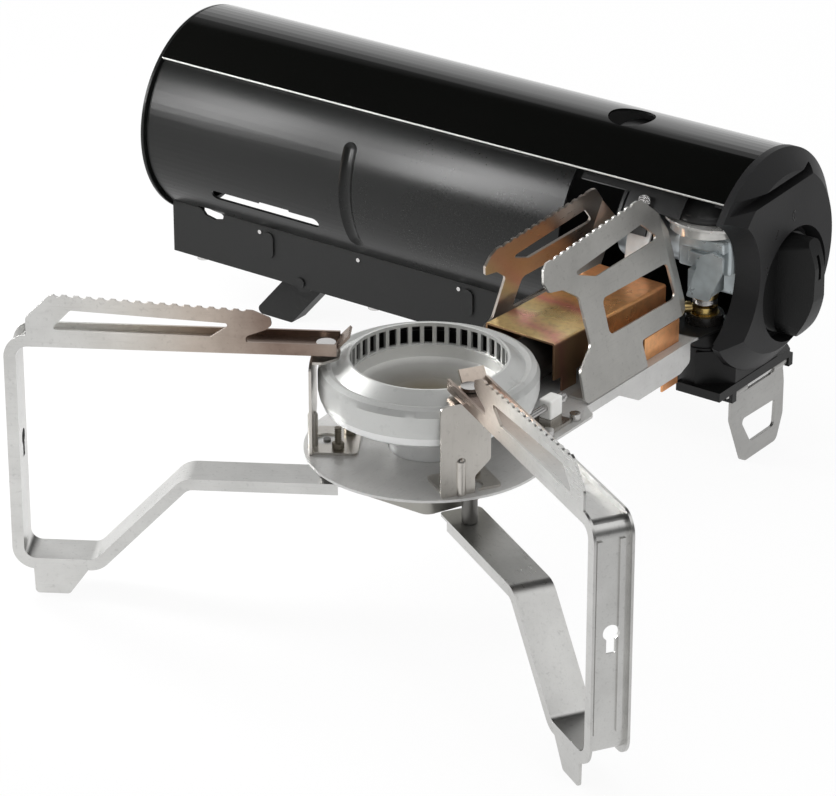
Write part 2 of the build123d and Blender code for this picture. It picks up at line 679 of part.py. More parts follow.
def heat_tab():
    """Copper strip that goes down through the tray, beside the arm's right edge."""
    tab = block((tab_x, tab_x + copper_t), tab_y, (plate_top + 0.02, 65.6))
    tab += block((tab_x, tab_x + copper_t), (-50, -40), (41, plate_top + 0.1))
    bridge = block((panel_x[1], tab_x + 0.1), (tab_y[0], tab_y[0] + tab_bridge), (65.6 - copper_t, 65.6))
    return tab + (bridge - panel_place(block((panel_x[0], panel_x[1] + 0.02), panel_y, (60, panel_top))))


def mixing_tube():
    tube = rod_y(arm_x, mix_z, mix_r, burner_y + neck_r + 4, -58)
    return tube - rod_y(arm_x, mix_z, mix_r - 0.9, burner_y, 0)


def air_shutter():
    sleeve = rod_y(arm_x, mix_z, shutter_r, -66, -50) - rod_y(arm_x, mix_z, mix_r + 0.03, -70, -58)
    sleeve -= rod_y(arm_x, mix_z, mix_r - 0.9, -59, -51.2)
    sleeve -= rod_y(arm_x, mix_z, 3.53, -60, -40)
    for angle in (0, 120, 240):
        sleeve -= Pos(arm_x, -54.5, mix_z) * Rot(Y=angle) * Pos(0, 0, shutter_r) * Box(5, 4.6, 6)
    return sleeve


def injector():
    body = rod_y(arm_x, mix_z, 3.5, -56, elbow[1] - elbow_r - 0.3) + rod_y(arm_x, mix_z, 5.0, -49.9, -46)
    body -= rod_z(*elbow, elbow_r + 0.02, 50, 90)
    return body - rod_y(arm_x, mix_z, 1.0, -60, -46)


def gas_elbow():
    """Blackened fitting that turns the gas into the injector."""
    fitting = rod_z(*elbow, elbow_r, plate_top + 0.02, mix_z + 4.5)
    return fillet(fitting.edges().group_by(Axis.Z)[-1], 0.8)


def gas_pipe():
    """Brass pipe from the swivel to the elbow."""
    start = Vector(*pivot, pipe_z)
    way = Vector(*elbow, pipe_z) - start
    pipe = extrude(Plane(start, z_dir=way) * Circle(2.0), amount=way.length)
    pipe -= rod_z(*pivot, 8.02, 50, plate_top + 3.42)
    pipe -= rod_z(*pivot, 5.22, 50, 90)
    return pipe - rod_z(*elbow, elbow_r + 0.02, 50, 90)


def swivel_spring():
    spring = rod_z(*pivot, 4.5, cap_top + 0.25, stub_top - 1.62)
    return spring - rod_z(*pivot, 3.7, 50, 90)


def swivel():
    """Brass cap over the pivot's head. The gas outlet turns in its top."""
    cap = rod_z(*pivot, pivot_r + 2.8, plate_top + 0.02, plate_top + 3.4)
    cap += rod_z(*pivot, stub_r + 2.0, plate_top + 3.3, cap_top)
    cap -= rod_z(*pivot, pivot_r + 1.7, 50, plate_top + 2.2)
    return cap - rod_z(*pivot, stub_r + fit_gap, cap_top - 2.6, 80)


# ---------------------------------------------------------------- burner
def burner_body():
    """Cast bowl under the ring, with its neck and the stub that takes the mixing tube."""
    outline = [(0, 50.0), (9.5, 50.0), (neck_r, 53), (neck_r, 63), (15.5, 66), (22, 68.6), (31.5, 71.2), (34.6, 73.2),
               (35.6, ring_low - 0.02), (24.6, ring_low - 0.02), (24.6, 74.2), (14, 70.2), (9.6, 67.0), (9.6, 56),
               (0, 54)]
    body = turned(outline, arm_x, burner_y)
    stub = rod_y(arm_x, mix_z, mix_r + 1.3, burner_y + 9.6, burner_y + neck_r + 9)
    body += stub & block((-60, 60), (-200, 0), (plate_top + 0.02, bowl_low - 0.3))
    body -= rod_y(arm_x, mix_z, mix_r + 0.03, burner_y + neck_r + 4, 0)
    return body - rod_y(arm_x, mix_z, mix_r - 2.5, burner_y, burner_y + 25)


def burner_ring():
    """Cast ring with the flame ports in its inner wall."""
    outline = [(ring_in, ring_low), (35.7, ring_low), (ring_r, 78.4), (ring_r, 83.6), (35.2, 85.6), (33.4, 86.4),
               (31.6, 85.7), (26.6, ring_top), (ring_in, ring_top)]
    ring = turned(outline, arm_x, burner_y)
    gallery = [(ring_in + 1.4, 77.6), (34.0, 77.6), (34.0, 84.0), (31.4, 84.2), (ring_in + 1.4, 87.1)]
    ring -= turned(gallery, arm_x, burner_y)
    low, high = port_z
    cutter = Pos(ring_in + 0.6, 0, (low + high) / 2) * Box(3.4, port_width, high - low)
    ports = [Pos(arm_x, burner_y, 0) * Rot(Z=i * 360 / port_count) * cutter for i in range(port_count)]
    return ring - ports


def burner_bowl():
    """Pressed bowl that closes the middle of the ring."""
    edge = ring_in - 0.05
    outline = [(0, bowl_low), (12, bowl_low), (edge - 1.0, ring_low), (edge, ring_low + 0.6), (edge, 81.6),
               (edge - 1, 81.6), (edge - 1, 77.6), (12, bowl_low + 1), (0, bowl_low + 1)]
    return turned(outline, arm_x, burner_y)


def under_pan():
    """Pressed tray under the burner's base, with a straight front edge."""
    def outline(inset):
        points = [(-18.3, -184), (18.3, -184), (25.5, -167), (22, -150), (10, -138), (-10, -138), (-22, -150),
                  (-25.5, -167)]
        return offset(rounded([(arm_x + x, y) for x, y in points], [4, 4, 8, 8, 6, 6, 8, 8]), -inset)
    top = plate_top - sheet_t - 0.02
    return up_z(outline(0), pan_low, top) - up_z(outline(sheet_t), pan_low + sheet_t, top + 1)


def ceramic_block():
    body = block((arm_x + 21.6, arm_x + 26.6), (-125.4, -118.4), (plate_top + 3.4, ceramic_top), 0.7)
    return body - rod_y(electrode_x, electrode_z, 1.3, -130, -110)


def igniter_holder():
    plate = block((arm_x + 17, arm_x + 28.6), (-127, -116), (plate_top + 0.02, plate_top + 1.2))
    return plate + block((arm_x + 21.8, arm_x + 26.4), (-125.2, -118.6), (plate_top + 1.1, plate_top + 3.38))


def electrode():
    rod = rod_y(electrode_x, electrode_z, 1.25, -136.0, -114)
    return rod + rod_y(electrode_x, electrode_z, 2.0, -118.3, -116)


def igniter_screws():
    screws = []
    for y in (-129.4, -113.6):
        screws.append(rod_z(arm_x + 28.4, y, 1.9, plate_top + 0.02, plate_top + 2.4))
    return Compound(screws)


# ---------------------------------------------------------------- legs
def leg_place(solid, side):
    """Puts what was made in a leg's own frame (u outwards, v across, z) at the left (-1) or right (1) leg."""
    if side > 0:
        solid = mirror(solid, Plane.XZ)
    return Pos(arm_x, burner_y, 0) * Rot(Z=270 + side * leg_spread) * solid


def leg_region(depth):
    """The leg's void, grown outwards by depth, in (u, z)."""
    run = slope_u[1] - slope_u[0]
    drop = leg_bar - leg_floor
    push = depth * (math.hypot(run, drop) - run) / drop
    start = leg_inner - 12
    points = [(start, leg_bar - depth), (slope_u[0] - push, leg_bar - depth), (slope_u[1] - push, leg_floor - depth),
              (leg_post + depth, leg_floor - depth), (leg_post + depth, leg_roof + depth), (start, leg_roof + depth)]
    return rounded(points, [0, 8 - depth, 4 + depth, 4 + depth, 4 + depth, 0])


def leg_band(depth, low, high):
    """The channel's sheet to one depth outside the void, from v = low to v = high."""
    band = across_y(leg_region(depth), low, high) - across_y(leg_region(0), low - 1, high + 1)
    return band - block((-50, leg_inner), (-50, 50), (0, 200))


def leg():
    far, front = leg_v
    solid = leg_band(sheet_t, far, front)
    solid += leg_band(flange_front, front - sheet_t, front)
    solid += leg_band(flange_far, far, far + sheet_t)
    tip = leg_inner - leg_tongue
    tongue = [(tip, far), (leg_inner + 0.5, far), (leg_inner + 0.5, front), (tip, front)]
    solid += up_z(rounded(tongue, [3.0, 0, 0, 1.5]), leg_bar - sheet_t, leg_bar)
    # toothed pot support on the front flange
    top = [(58.2, 93.9), (59.8, 96.4), (52.4, 99.2), (50.4, 101.0), (50.9, 103.4), (56.6, 105.8), (121.6, 109.2),
           (123.2, 108.6), (131.0, 100.8), (131.0, 93.4)]
    window = rounded([(63.4, 101.0), (116.2, 103.8), (123.0, 96.6), (70.6, 96.0)], [0.8, 1.2, 1.0, 0.8])
    plate = across_y(rounded(top, [0, 1.5, 1.2, 1.2, 1.2, 1.5, 1.5, 1.5, 2.0, 0]), front - sheet_t, front)
    plate -= across_y(window, front - 5, front + 5)
    rise = (109.2 - 105.8) / (121.6 - 56.6)
    for i in range(16):
        u = 58.0 + (i + 0.5) * tooth_pitch
        plate -= rod_y(u, 105.8 + (u - 56.6) * rise + 0.75, tooth_r, front - 5, front + 5)
    solid += plate
    # ear that rises from the inner end of the roof
    ear = [(leg_inner + 0.7, leg_roof), (leg_inner + 0.1, leg_roof), (leg_inner - 3.9, leg_roof + 4.4),
           (leg_inner - 3.2, leg_roof + 5.0), (leg_inner + 0.7, leg_roof + sheet_t)]
    solid += across_y(make_face(Polyline(*ear, close=True)), far, 1.0)
    # foot tab on the front flange
    tab = rounded([(131.8, 12.0), (131.4, 0), (119.9, 0), (113.0, 9.6), (113.0, 12.0)], [0, 1.5, 1.5, 1.5, 0])
    solid += across_y(tab, front - sheet_t, front)
    # post: two long ribs and a keyhole
    outside = leg_post + sheet_t
    for v in (-4.6, 3.0):
        solid += block((outside - 0.5, outside + 0.7), (v - 0.9, v + 0.9), (20, 86))
    solid -= rod_x(-1.5, 54.3, 2.7, leg_post - 3, leg_post + 5)
    solid -= block((leg_post - 3, leg_post + 5), (-3.0, 0.0), (47.2, 54))
    # pivot holes in the roof and in the inner bar
    return solid - rod_z(leg_pin_u, 0, leg_pin_r + fit_gap, 30, 100)


def leg_bracket():
    """Upright plate screwed to the burner's base. Its top ear holds the leg's pivot."""
    low, high = bracket_v
    seat = plate_top + 0.02
    back = bracket_u + 0.3
    outline = [(0.2, seat), (high, seat), (high, 88.2), (8.8, ear_top), (low + 1, ear_top), (low, 87.6), (low, 68.0),
               (0.2, 63.0)]
    solid = across_x(rounded(outline, [0, 1.0, 1.0, 0.5, 0.8, 0.5, 2.0, 2.0]), bracket_u, bracket_u + sheet_t)
    ear = [(leg_pin_u - 4.6, -4.4), (back, -4.4), (back, 8.6), (leg_pin_u + 0.5, 8.6), (leg_pin_u - 4.6, 4.4)]
    solid += up_z(rounded(ear, [3, 0, 0, 2, 3]), ear_top - sheet_t, ear_top)
    foot = [(22.5, -9.6), (back, -9.6), (back, 10.6), (22.5, 10.6)]
    solid += up_z(rounded(foot, [1.5, 1.5, 0, 1.5]), seat, plate_top + sheet_t)
    # pressed rib, round at the top
    rib_u = bracket_u + 0.4
    solid += rod_z(rib_u, 5.0, bracket_rib_r, seat, 68.5) + Pos(rib_u, 5.0, 68.5) * Sphere(bracket_rib_r)
    solid -= rod_z(leg_pin_u, 0, top_rivet_r + 0.02, 80, 95)
    return solid - rod_z(leg_pin_u, 0, 4.2, 50, 62)


def bracket_screws():
    screws = []
    for side in (-1, 1):
        for u, v in ((26.4, -4.6), (29.2, 6.6)):
            screw = rod_z(u, v, 2.1, plate_top + sheet_t + 0.02, plate_top + 3.0)
            screw += rod_z(u, v, 1.2, plate_top + 2.9, 65.5)
            screws.append(leg_place(screw, side))
    return Compound(screws)


def top_pins():
    """Rivets through each bracket's ear and the leg's roof."""
    above = leg_roof + sheet_t + 0.3
    below = ear_top - sheet_t
    pins = []
    for side in (-1, 1):
        pin = rod_z(leg_pin_u, 0, leg_pin_r, ear_top + 0.02, above)
        pin += rod_z(leg_pin_u, 0, top_rivet_r, below - 0.1, ear_top + 0.1)
        pin += rod_z(leg_pin_u, 0, 2.4, below - 0.9, below - 0.02)
        pin += rod_z(leg_pin_u, 0, 3.2, above, above + 1.1)
        pins.append(leg_place(pin, side))
    return Compound(pins)


def pin_washers():
    low = ear_top + 0.15
    washers = []
    for side in (-1, 1):
        washer = rod_z(leg_pin_u, 0, 3.9, low, low + washer_t) - rod_z(leg_pin_u, 0, leg_pin_r + 0.04, 80, 95)
        washers.append(leg_place(washer, side))
    return Compound(washers)


def low_pins():
    """Studs under the burner's base that each leg's inner bar turns on."""
    top = plate_top - sheet_t
    under = leg_bar - sheet_t
    pins = []
    for side in (-1, 1):
        pin = rod_z(leg_pin_u, 0, stud_r, leg_bar + 0.25, top - 0.02)
        pin += rod_z(leg_pin_u, 0, leg_pin_r, under - 0.35, leg_bar + 0.3)
        pin += rod_z(leg_pin_u, 0, 3.2, under - 1.5, under - 0.3)
        pin += rod_z(leg_pin_u, 0, 1.25, top - 0.1, plate_top + 0.9)
        pins.append(leg_place(pin, side))
    return Compound(pins)


nodes = {
    "upper_shell": upper_shell(),
    "inner_shell": inner_shell(),
    "left_cap": left_cap(),
    "base_rail": base_rail(),
    "rail_buttons": rail_buttons(),
    "case_foot": case_foot(),
    "foot_pin": foot_pin(),
    "end_housing": end_housing(),
    "housing_base": housing_base(),
    "base_screws": base_screws(),
    "stand_plate": stand_plate(),
    "stand_pin": stand_pin(),
    "knob": knob(),
    "control_spindle": control_spindle(),
    "guide_plate": guide_plate(),
    "guide_screw": guide_screw(),
    "clamp_band": clamp_band(),
    "socket_plate": socket_plate(),
    "canister_socket": canister_socket(),
    "socket_seal": socket_seal(),
    "magnets": magnets(),
    "regulator_body": regulator_body(),
    "regulator_bonnet": regulator_bonnet(),
    "governor_plate": governor_plate(),
    "governor_dome": governor_dome(),
    "regulator_screws": regulator_screws(),
    "swivel_spring": swivel_spring(),
    "outlet_stub": outlet_stub(),
    "arm_pivot_pin": pivot_pin(),
    "pivot_bush": pivot_bush(),
    "arm_channel": arm_channel(),
    "trivet_front": trivet(1),
    "trivet_rear": trivet(-1),
    "trivet_rivets": trivet_rivets(),
    "heat_panel": heat_panel(),
    "heat_tab": heat_tab(),
    "mixing_tube": mixing_tube(),
    "air_shutter": air_shutter(),
    "injector": injector(),
    "gas_elbow": gas_elbow(),
    "gas_pipe": gas_pipe(),
    "swivel": swivel(),
    "burner_body": burner_body(),
    "burner_ring": burner_ring(),
    "burner_bowl": burner_bowl(),
    "under_pan": under_pan(),
    "ceramic_block": ceramic_block(),
    "igniter_holder": igniter_holder(),
    "electrode": electrode(),
    "igniter_screws": igniter_screws(),
    "leg_bracket_left": leg_place(leg_bracket(), -1),
    "leg_bracket_right": leg_place(leg_bracket(), 1),
    "bracket_screws": bracket_screws(),
    "leg_top_pins": top_pins(),
    "pin_washers": pin_washers(),
    "leg_low_pins": low_pins(),
    "leg_left": leg_place(leg(), -1),
    "leg_right": leg_place(leg(), 1),
}

box = Compound([solid for part in nodes.values() for solid in part.solids()]).bounding_box()
shift = Pos(-(box.min.X + box.max.X) / 2, -(box.min.Y + box.max.Y) / 2, -box.min.Z)
os.makedirs("parts", exist_ok=True)
for name, part in nodes.items():
    export_step(shift * part, f"parts/{name}.step")
print("shift", tuple(shift.position), "size", tuple(box.size))
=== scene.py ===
import json
import math

import bpy
from mathutils import Matrix, Vector


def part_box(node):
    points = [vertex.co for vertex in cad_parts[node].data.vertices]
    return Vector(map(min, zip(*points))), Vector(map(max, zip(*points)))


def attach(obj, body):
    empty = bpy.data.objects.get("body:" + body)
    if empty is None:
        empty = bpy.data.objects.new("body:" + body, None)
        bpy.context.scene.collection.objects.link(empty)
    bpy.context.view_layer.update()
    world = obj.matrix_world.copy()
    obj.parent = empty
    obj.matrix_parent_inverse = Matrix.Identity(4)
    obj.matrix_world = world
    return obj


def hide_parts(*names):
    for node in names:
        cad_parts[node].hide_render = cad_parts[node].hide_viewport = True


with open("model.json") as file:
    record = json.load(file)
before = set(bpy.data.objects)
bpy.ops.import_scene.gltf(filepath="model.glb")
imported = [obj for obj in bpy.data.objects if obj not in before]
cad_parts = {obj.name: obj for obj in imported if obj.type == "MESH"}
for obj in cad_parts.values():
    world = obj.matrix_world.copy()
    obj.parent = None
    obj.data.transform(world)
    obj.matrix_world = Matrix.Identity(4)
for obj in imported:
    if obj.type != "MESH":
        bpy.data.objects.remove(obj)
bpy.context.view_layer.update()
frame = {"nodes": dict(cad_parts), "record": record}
print("frame loaded")

mm = 0.001


def centreOf(node):
    low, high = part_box(node)
    return (low + high) / 2


burner = centreOf("burner_ring")
tube = centreOf("left_cap")
pivotLine = centreOf("arm_pivot_pin")


# shader maths: a Wire is a node's output, and arithmetic on it adds Math nodes
class Wire:
    def __init__(self, tree, socket):
        self.tree = tree
        self.socket = socket

    def maths(self, operation, other, swapped=False):
        pair = [other, self] if swapped else [self, other]
        return self.tree.node("ShaderNodeMath", {"operation": operation}, pair)

    def beside(self, name):                       # another output of the same node
        return Wire(self.tree, self.socket.node.outputs[name])

    def __add__(self, other):
        return self.maths("ADD", other)

    def __sub__(self, other):
        return self.maths("SUBTRACT", other)

    def __rsub__(self, other):
        return self.maths("SUBTRACT", other, swapped=True)

    def __mul__(self, other):
        return self.maths("MULTIPLY", other)

    def __pow__(self, other):
        return self.maths("POWER", other)

    __radd__ = __add__
    __rmul__ = __mul__


class Tree:                                       # makes the nodes of a material or of the world
    def __init__(self, tree):
        tree.nodes.clear()
        self.nodes = tree.nodes
        self.links = tree.links

    def node(self, kind, settings=None, inputs=(), output=0):
        made = self.nodes.new(kind)
        for key, value in (settings or {}).items():
            if key == "stops":
                ramp = made.color_ramp.elements
                while len(ramp) < len(value):
                    ramp.new(0.5)
                for element, (place, colour) in zip(ramp, value):
                    element.position = place
                    element.color = (*colour, 1)
            else:
                setattr(made, key, value)
        pairs = inputs.items() if isinstance(inputs, dict) else enumerate(inputs)
        for key, value in pairs:
            if isinstance(value, Wire):
                self.links.new(value.socket, made.inputs[key])
            else:
                made.inputs[key].default_value = value
        return Wire(self, made.outputs[output]) if made.outputs else made

    def place(self, centre=(0, 0, 0), turn=(0, 0, 0), stretch=(1, 1, 1)):
        # object coordinates from a centre; a pattern on them is turned and drawn out
        where = self.node("ShaderNodeTexCoord").beside("Object")
        return self.node("ShaderNodeMapping", {"vector_type": "TEXTURE"}, [where, centre, turn, stretch])

    def axes(self, where):
        split = self.node("ShaderNodeSeparateXYZ", inputs=[where])
        return [split.beside(axis) for axis in "XYZ"]

    def fromLine(self, line):                     # the distance from an upright line, and the height
        x, y, z = self.axes(self.place(centre=(line[0], line[1], 0)))
        return (x * x + y * y) ** 0.5, z

    def noise(self, where, scale, detail=3, rough=0.5):
        values = {"Vector": where, "Scale": scale, "Detail": detail, "Roughness": rough}
        return self.node("ShaderNodeTexNoise", inputs=values)

    def between(self, value, low, high, toLow=0.0, toHigh=1.0):    # a value from one range to another
        return self.node("ShaderNodeMapRange", inputs=[value, low, high, toLow, toHigh])

    def falls(self, value, low, high):            # 1 up to low, 0 from high on
        return self.between(value, low, high, 1.0, 0.0)

    def blend(self, factor, first, second, how="MIX"):
        colours = [(*c, 1) if isinstance(c, tuple) else c for c in (first, second)]
        return self.node("ShaderNodeMix", {"data_type": "RGBA", "blend_type": how},
                         {0: factor, 6: colours[0], 7: colours[1]}, output=2)

    def ramp(self, factor, stops):
        return self.node("ShaderNodeValToRGB", {"stops": stops}, [factor])


finishes = {}


class Finish(Tree):                               # one material round a Principled shader
    def __init__(self, name, **sockets):
        self.name = name
        self.material = bpy.data.materials.new(name)
        self.material.use_nodes = True
        super().__init__(self.material.node_tree)
        values = {key.replace("_", " "): value for key, value in sockets.items()}
        self.shader = self.node("ShaderNodeBsdfPrincipled", inputs=values)

    def set(self, name, value):
        self.links.new(value.socket, self.shader.socket.node.inputs[name])

    def done(self, colour, rough, height, strength, distance):
        self.set("Base Color", colour)
        self.set("Roughness", rough)
        bump = {"Strength": strength, "Distance": distance, "Height": height}
        self.set("Normal", self.node("ShaderNodeBump", inputs=bump))
        self.node("ShaderNodeOutputMaterial", inputs=[self.shader])
        finishes[self.name] = self.material


def times(colour, factor):
    return tuple(c * factor for c in colour)


# finishes: lengths in a finish are in metres, angles in degrees
enamel = {"coat": 0.25, "coatRough": 0.03, "index": 1.5, "peel": 55, "smear": 9}
coverEdge = {
    "from": 133.62, "to": 134.6, "blur": 0.1,     # angles round the tube where the cover's edge lies
    "metal": (0.55, 0.55, 0.53), "metalRough": 0.2,
    "inner": 0.0394, "innerBlur": 0.0001, "innerRough": 0.6,
}


def glossEnamel(name, colour, rough, edge=None):
    # sprayed and baked gloss with a little orange peel; a cover also has a bright edge and a matt inner side
    f = Finish(name, Coat_Weight=enamel["coat"], Coat_Roughness=enamel["coatRough"], IOR=enamel["index"])
    where = f.place()
    wave = f.noise(where, enamel["peel"], 2)
    smear = f.noise(where, enamel["smear"], 4)
    shade = f.blend(smear, colour, times(colour, 1.5))
    roughness = f.between(smear, 0.35, 0.75, rough, rough * 1.8)
    if edge:
        y, z = f.axes(f.place(centre=(0, tube.y, tube.z)))[1:]
        angle = z.maths("ARCTAN2", y) * math.degrees(1)
        bare = f.between(angle, edge["from"] - edge["blur"], edge["from"] + edge["blur"])
        bare = bare * f.falls(angle, edge["to"] - edge["blur"], edge["to"] + edge["blur"])
        inside = f.falls((y * y + z * z) ** 0.5, edge["inner"], edge["inner"] + edge["innerBlur"])
        shade = f.blend(bare, shade, edge["metal"])
        roughness = roughness + inside * edge["innerRough"] + bare * edge["metalRough"]
        f.set("Coat Weight", (1 - inside) * enamel["coat"])
    f.done(shade, roughness, wave, 0.05, 0.0004)


def satinPaint(name, colour, rough, grain=900, depth=0.12, index=1.45):
    f = Finish(name, IOR=index)
    where = f.place()
    fine = f.noise(where, grain, 3)
    cloud = f.noise(where, 14, 4)
    shade = f.blend(cloud, colour, times(colour, 1.45))
    roughness = f.between(cloud + fine * 0.3, 0.4, 1.0, rough * 0.88, rough * 1.15)
    f.done(shade, roughness, fine, depth, 0.0002)


def mouldedPlastic(name, colour, rough, grain=1500):   # spark-eroded mould texture
    f = Finish(name, IOR=1.38)
    where = f.place()
    pits = f.node("ShaderNodeTexVoronoi", {"feature": "SMOOTH_F1"}, {"Vector": where, "Scale": grain})
    cloud = f.noise(where, 22, 3)
    shade = f.blend(cloud, colour, times(colour, 1.3))
    roughness = f.between(cloud, 0.3, 0.7, rough * 0.9, rough * 1.1)
    f.done(shade, roughness, pits, 0.16, 0.00015)


brushed = {
    "stretch": 14, "lines": 1500, "mottle": 34, "specks": 700,
    "mottleDark": 0.8, "speckDark": 0.5, "lineDark": 0.6, "warmTone": (0.62, 0.5, 0.4),
}
heated = {                                        # a straw-to-brown tint round the burner
    "low": 0.066, "high": 0.076, "blotch": 0.02, "strength": 0.9,
    "tones": [(0.0, (0.97, 0.94, 0.9)), (0.4, (0.95, 0.83, 0.7)), (0.7, (0.78, 0.6, 0.47)),
              (1.0, (0.3, 0.19, 0.14))],
}
blackened = {"blotch": 0.002, "blur": 0.001, "tone": (0.01, 0.01, 0.01)}


def brushedSteel(name, colour, rough, along="X", turn=0.0, warm=0.0, heat=None, black=None, metal=1.0):
    # drawn grain along one axis and a soft mottle; heat is (x, y, near, far) of the tint, and black is the
    # radius of a blackened end round the arm's pivot
    f = Finish(name, Metallic=metal)
    drawn = [brushed["stretch"] if axis == along else 1 for axis in "XYZ"]
    grain = f.noise(f.place(turn=(0, 0, turn), stretch=drawn), brushed["lines"], 4, 0.65)
    where = f.place()
    mottle = f.noise(where, brushed["mottle"], 6, 0.62)
    specks = f.noise(where, brushed["specks"], 2, 0.5)
    shade = f.blend(f.between(mottle, 0.35, 0.68), times(colour, brushed["mottleDark"]), colour)
    shade = f.blend(f.between(specks, 0.6, 0.75, 0.0, 0.3), shade, times(colour, brushed["speckDark"]))
    shade = f.blend(f.between(grain, 0.55, 0.8, 0.0, 0.35), shade, times(colour, brushed["lineDark"]))
    if warm:
        shade = f.blend(warm, shade, brushed["warmTone"])
    if heat:
        near, far = heat[2:]
        away, height = f.fromLine(heat)
        hot = f.falls(away + (mottle - 0.5) * heated["blotch"], near, far)
        hot = hot * f.between(height, heated["low"], heated["high"])
        tones = f.ramp(hot, heated["tones"])
        shade = f.blend(hot * heated["strength"], shade, tones, how="MULTIPLY")
    if black:
        away = f.fromLine(pivotLine)[0] + (mottle - 0.5) * blackened["blotch"]
        end = f.falls(away, black, black + blackened["blur"])
        shade = f.blend(end, shade, blackened["tone"])
        f.set("Metallic", (1 - end) * metal)
    roughness = f.between(mottle * 0.6 + grain * 0.5, 0.3, 0.85, rough * 0.8, rough * 1.25)
    f.done(shade, roughness, grain * 0.7 + specks * 0.5, 0.14, 0.0001)


ringZones = {
    "inner": (0.0267, 0.027), "outer": (0.0343, 0.0346),    # the gas gallery between these radii is painted near black as painted shade
    "roof": 0.0845, "roofRadius": 0.0316, "slope": 0.7, "roofBlur": 0.0003,
    "nearBlack": (0.012, 0.011, 0.01),
    "turned": (0.0375, 0.0385), "turnedTop": (0.0782, 0.0788),    # painted reflection: the outer wall below its top is made lighter and less metallic
    "turnedTone": (0.97, 0.97, 0.96), "turnedMatt": 0.35,
}


def castAluminium(name, colour, rough, grain=700, metal=1.0, zones=None):
    # bead-blasted casting; zones are those of the burner's ring
    f = Finish(name, Metallic=metal)
    where = f.place()
    beads = f.noise(where, grain, 4, 0.65)
    cloud = f.noise(where, 26, 4)
    pits = f.noise(where, 260, 3, 0.6)
    shade = f.blend(cloud, times(colour, 0.86), colour)
    shade = f.blend(f.between(pits, 0.6, 0.75, 0.0, 0.3), shade, times(colour, 0.55))
    if zones:
        away, height = f.fromLine(burner)
        roof = (zones["roofRadius"] - away) * zones["slope"] + zones["roof"]
        inside = f.between(away, *zones["inner"]) * f.falls(away, *zones["outer"])
        inside = inside * f.falls(height - roof, 0.0, zones["roofBlur"])
        # painted shade: the gas gallery inside the ring is turned near black
        shade = f.blend(inside, shade, zones["nearBlack"])
        # painted reflection: the ring's outer wall is lightened and made less metallic
        turned = f.between(away, *zones["turned"]) * f.falls(height, *zones["turnedTop"])
        shade = f.blend(turned, shade, zones["turnedTone"])
        f.set("Metallic", (1 - inside) * (metal - turned * zones["turnedMatt"]))
    roughness = f.between(beads, 0.3, 0.7, rough * 0.85, rough * 1.15)
    f.done(shade, roughness, beads, 0.22, 0.00025)


bowlZones = {
    "middle": 0.006, "rim": 0.0245, "blotch": 0.004,
    "tones": [(0.0, (0.2, 0.175, 0.13)), (0.45, (0.28, 0.27, 0.245)), (0.8, (0.42, 0.415, 0.4)),
              (1.0, (0.72, 0.72, 0.7))],
}


def bowlMetal(name):                              # pressed bowl: pale at its rim, darker and browner towards the middle
    f = Finish(name, Metallic=0.5)
    cloud = f.noise(f.place(), 60, 4, 0.6)
    away = f.fromLine(burner)[0] + (cloud - 0.5) * bowlZones["blotch"]
    shade = f.ramp(f.between(away, bowlZones["middle"], bowlZones["rim"]), bowlZones["tones"])
    f.done(shade, f.between(cloud, 0.3, 0.7, 0.28, 0.42), cloud, 0.1, 0.0004)


copperZones = {
    "near": 0.052, "far": 0.122, "slant": 0.35, "blotch": 0.02,   # how far from the burner the heat tint and the painted reflections reach
    # cream and pink bands: partly heat tint, partly painted reflections of the trivets
    "tones": [(0.0, (0.7, 0.5, 0.2)), (0.1, (0.88, 0.68, 0.33)), (0.17, (0.8, 0.38, 0.3)),
              (0.25, (0.95, 0.74, 0.36)), (0.36, (0.92, 0.64, 0.28)), (0.43, (0.82, 0.3, 0.22)),
              (0.52, (0.88, 0.46, 0.18)), (1.0, (0.86, 0.4, 0.18))],
    # painted shade: sides that do not face up are turned dark brown near the burner
    "sideShade": (0.16, 0.08, 0.05), "sideShadeShare": 0.85, "speck": (0.3, 0.16, 0.09),
}


def copperTintAndPaintedLight(name):
    # copper sheet: straw with pink bands near the burner, partly heat tint and partly painted reflection of
    # the trivets, plain copper further on, and sides darkened as painted shade
    f = Finish(name, Metallic=0.8)
    where = f.place(centre=(burner.x, burner.y, 0))
    x, y = f.axes(where)[:2]
    cloud = f.noise(where, 34, 4, 0.62)
    fine = f.noise(where, 420, 3, 0.5)
    away = y + x * copperZones["slant"] + (cloud - 0.5) * copperZones["blotch"]
    reach = f.between(away, copperZones["near"], copperZones["far"])
    heatTintAndReflection = f.ramp(reach, copperZones["tones"])
    upright = f.axes(f.node("ShaderNodeNewGeometry").beside("Normal"))[2]
    # painted shade on the copper's sides that do not face up
    paintedShade = f.falls(upright, 0.35, 0.8) * f.falls(reach, 0.35, 0.6)
    shade = f.blend(paintedShade * copperZones["sideShadeShare"], heatTintAndReflection, copperZones["sideShade"])
    shade = f.blend(f.between(fine, 0.45, 0.75, 0.0, 0.3), shade, copperZones["speck"])
    f.done(shade, f.between(cloud, 0.3, 0.7, 0.24, 0.36), cloud, 0.18, 0.0006)


def brightPart(name, colour, rough, scale=60):
    f = Finish(name, Metallic=1.0)
    where = f.place()
    cloud = f.noise(where, scale, 3)
    fine = f.noise(where, 2500, 2)
    shade = f.blend(cloud, times(colour, 0.8), colour)
    roughness = f.between(cloud, 0.3, 0.7, rough * 0.75, rough * 1.3)
    f.done(shade, roughness, fine, 0.06, 0.0001)


